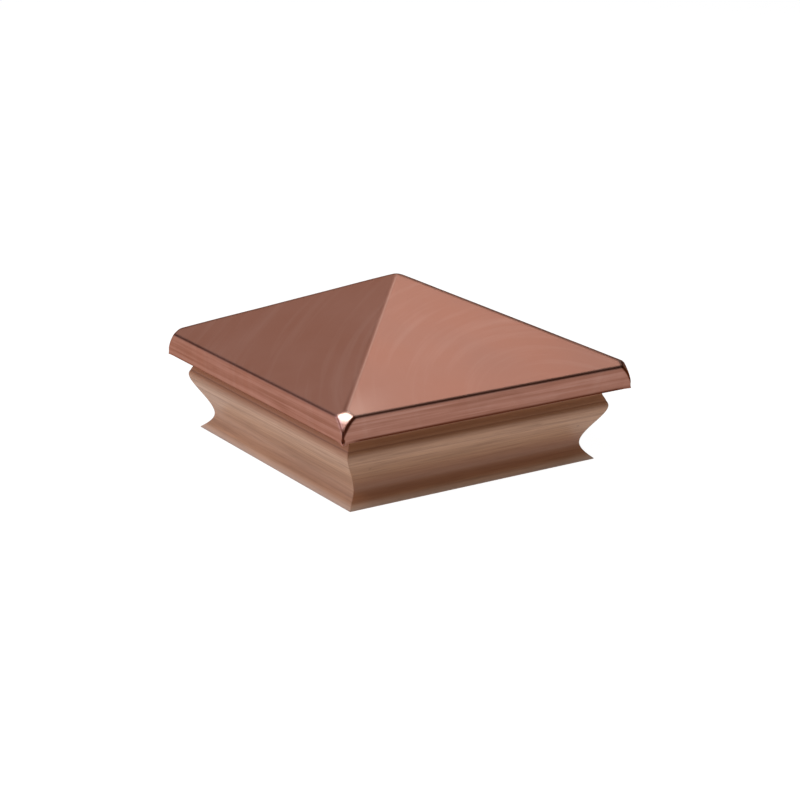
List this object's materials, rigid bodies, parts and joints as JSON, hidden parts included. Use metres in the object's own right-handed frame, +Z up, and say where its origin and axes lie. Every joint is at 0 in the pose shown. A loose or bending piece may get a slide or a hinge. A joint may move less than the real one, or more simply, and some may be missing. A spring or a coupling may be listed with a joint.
{
  "type": "fence post cap",
  "caption": "Pyramid post cap: folded copper roof with upright flanges over a mitred wooden crown moulding frame that slips over a square post.",
  "frame": {"origin": "centre of the moulding frame's lower rim, on the plane of the rim", "axes": "+Z up through the point of the roof; +X and +Y square to the sides of the post"},
  "size_m": [0.14, 0.14, 0.0745],
  "materials": {
    "copper_sheet": "satin new copper sheet, faintly streaked",
    "moulding_wood": "planed cedar, unfinished, straight grain",
    "board_wood": "planed, unfinished",
    "brad_steel": "galvanised wire",
    "adhesive": "cured construction adhesive"
  },
  "bodies": {
    "root": {"copper_cap": "copper_sheet", "top_board": "board_wood", "moulding_front": "moulding_wood", "moulding_right": "moulding_wood", "moulding_back": "moulding_wood", "moulding_left": "moulding_wood", "mitre_brad_front_left_lower": "brad_steel", "mitre_brad_front_left_upper": "brad_steel", "mitre_brad_front_right_lower": "brad_steel", "mitre_brad_front_right_upper": "brad_steel", "mitre_brad_back_left_lower": "brad_steel", "mitre_brad_back_left_upper": "brad_steel", "mitre_brad_back_right_lower": "brad_steel", "mitre_brad_back_right_upper": "brad_steel", "board_brad_front_a": "brad_steel", "board_brad_front_b": "brad_steel", "board_brad_right_a": "brad_steel", "board_brad_right_b": "brad_steel", "board_brad_back_a": "brad_steel", "board_brad_back_b": "brad_steel", "board_brad_left_a": "brad_steel", "board_brad_left_b": "brad_steel", "adhesive_bead_front": "adhesive", "adhesive_bead_right": "adhesive", "adhesive_bead_back": "adhesive", "adhesive_bead_left": "adhesive"}
  },
  "joints": []
}
